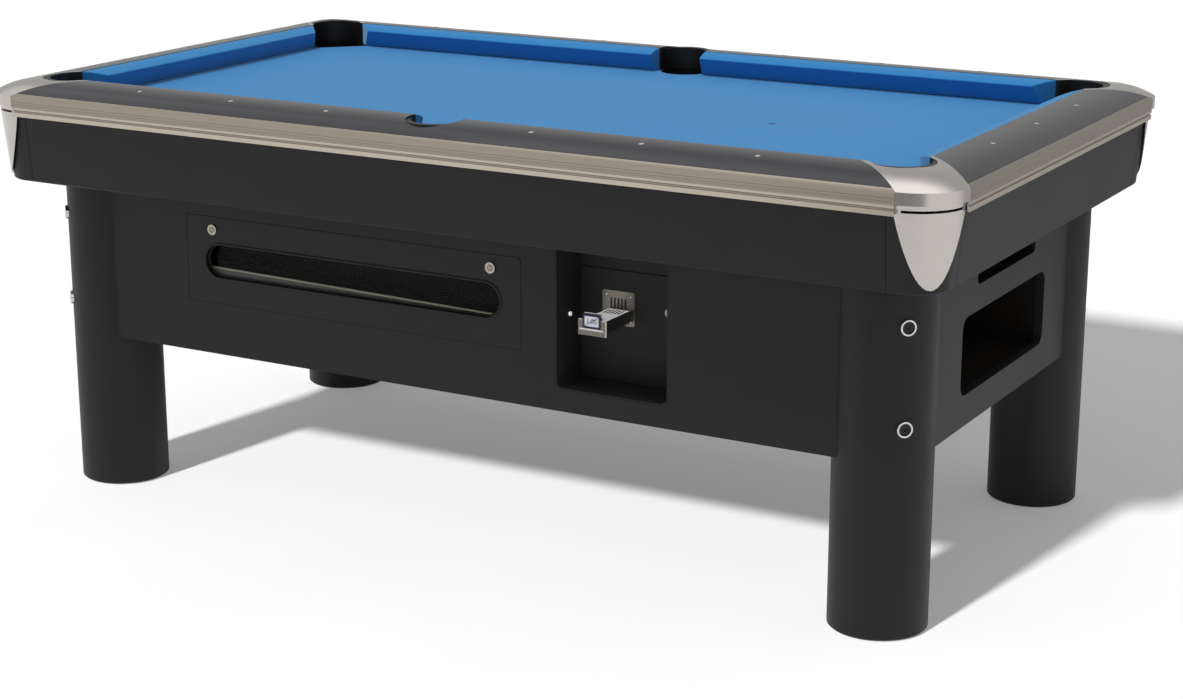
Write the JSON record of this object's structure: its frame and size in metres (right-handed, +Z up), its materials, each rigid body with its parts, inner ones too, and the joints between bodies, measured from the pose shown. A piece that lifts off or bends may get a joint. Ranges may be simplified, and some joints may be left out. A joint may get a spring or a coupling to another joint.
{
  "type": "coin-operated pool table",
  "caption": "Coin-operated pool table: cloth-covered slate bed, cushioned rails, pockets that feed a ball run, ball door with window, push coin chute, end ball return and round legs.",
  "frame": {"origin": "on the floor under the middle of the bed", "axes": "+X along the table to the foot end with the ball return, -Y to the front with the ball door and coin chute, +Z up"},
  "size_m": [2.072, 1.183, 0.849],
  "materials": {
    "slate": "ground",
    "blue_cloth": "napped wool cloth",
    "rail_laminate": "satin laminate",
    "champagne_aluminium": "anodised",
    "satin_casting": "satin",
    "black_rubber": "moulded",
    "black_laminate": "satin laminate",
    "plywood": "bare",
    "black_steel": "powder coat",
    "chrome": "polished",
    "clear_plastic": "clear",
    "zinc_plate": "zinc plated"
  },
  "bodies": {
    "table": {"slate_bed": "slate", "bed_cloth": "blue_cloth", "cushion_front_left": "blue_cloth", "cushion_front_right": "blue_cloth", "cushion_back_left": "blue_cloth", "cushion_back_right": "blue_cloth", "cushion_head": "blue_cloth", "cushion_foot": "blue_cloth", "rail_front": "rail_laminate", "rail_back": "rail_laminate", "rail_head": "rail_laminate", "rail_foot": "rail_laminate", "trim_front": "champagne_aluminium", "trim_back": "champagne_aluminium", "trim_head": "champagne_aluminium", "trim_foot": "champagne_aluminium", "corner_casting_front_left": "satin_casting", "corner_casting_front_right": "satin_casting", "corner_casting_back_left": "satin_casting", "corner_casting_back_right": "satin_casting", "apron_front": "black_laminate", "apron_back": "black_laminate", "apron_head": "black_laminate", "apron_foot": "black_laminate", "apron_corner_front_left": "black_laminate", "apron_corner_front_right": "black_laminate", "apron_corner_back_left": "black_laminate", "apron_corner_back_right": "black_laminate", "pocket_liner_front_left": "black_rubber", "pocket_liner_front_middle": "black_rubber", "pocket_liner_front_right": "black_rubber", "pocket_liner_back_left": "black_rubber", "pocket_liner_back_middle": "black_rubber", "pocket_liner_back_right": "black_rubber", "cabinet_front": "black_laminate", "cabinet_back": "black_laminate", "cabinet_head": "black_laminate", "cabinet_foot": "black_laminate", "cabinet_floor": "plywood", "leg_front_left": "black_laminate", "leg_front_right": "black_laminate", "leg_back_left": "black_laminate", "leg_back_right": "black_laminate", "coin_recess": "black_steel", "coin_chute": "chrome", "cash_box": "zinc_plate", "ball_run": "plywood", "ball_tray": "plywood", "return_box": "plywood"},
    "ball_door": {"ball_door": "black_laminate", "ball_window": "clear_plastic"},
    "door_lock_left": {"door_lock_left": "chrome"},
    "door_lock_right": {"door_lock_right": "chrome"},
    "coin_slide": {"coin_slide": "chrome"},
    "coin_lock": {"coin_lock": "chrome"},
    "release_gate": {"release_gate": "black_steel"},
    "leveller_front_left": {"leveller_front_left": "zinc_plate"},
    "leveller_front_right": {"leveller_front_right": "zinc_plate"},
    "leveller_back_left": {"leveller_back_left": "zinc_plate"},
    "leveller_back_right": {"leveller_back_right": "zinc_plate"}
  },
  "joints": [
    {"name": "ball_door_hinge", "type": "hinge", "parent": "table", "child": "ball_door", "pos_m": [-0.2225, -0.472, 0.425], "axis": [1, 0, 0], "range_deg": [0, 90]},
    {"name": "door_lock_left_turn", "type": "hinge", "parent": "ball_door", "child": "door_lock_left", "pos_m": [-0.5455, -0.472, 0.5745], "axis": [0, -1, 0], "range_deg": [0, 90]},
    {"name": "door_lock_right_turn", "type": "hinge", "parent": "ball_door", "child": "door_lock_right", "pos_m": [0.1005, -0.472, 0.5745], "axis": [0, -1, 0], "range_deg": [0, 90]},
    {"name": "coin_slide_push", "type": "slide", "parent": "table", "child": "coin_slide", "axis": [0, 1, 0], "range_m": [0, 0.065]},
    {"name": "coin_lock_turn", "type": "hinge", "parent": "table", "child": "coin_lock", "pos_m": [0.429, -0.3815, 0.5095], "axis": [0, -1, 0], "range_deg": [0, 90]},
    {"name": "release_gate_swing", "type": "hinge", "parent": "table", "child": "release_gate", "pos_m": [0.1984, -0.115, 0.54682], "axis": [1, 0, 0], "range_deg": [0, 60]},
    {"name": "leveller_front_left_screw", "type": "slide", "parent": "table", "child": "leveller_front_left", "axis": [0, 0, -1], "range_m": [0, 0.02]},
    {"name": "leveller_back_left_screw", "type": "slide", "parent": "table", "child": "leveller_back_left", "axis": [0, 0, -1], "range_m": [0, 0.02]},
    {"name": "leveller_front_right_screw", "type": "slide", "parent": "table", "child": "leveller_front_right", "axis": [0, 0, -1], "range_m": [0, 0.02]},
    {"name": "leveller_back_right_screw", "type": "slide", "parent": "table", "child": "leveller_back_right", "axis": [0, 0, -1], "range_m": [0, 0.02]}
  ],
  "couplings": [
    {"joint": "release_gate_swing", "follows": "coin_slide_push", "rad_per_m": 16.1}
  ]
}
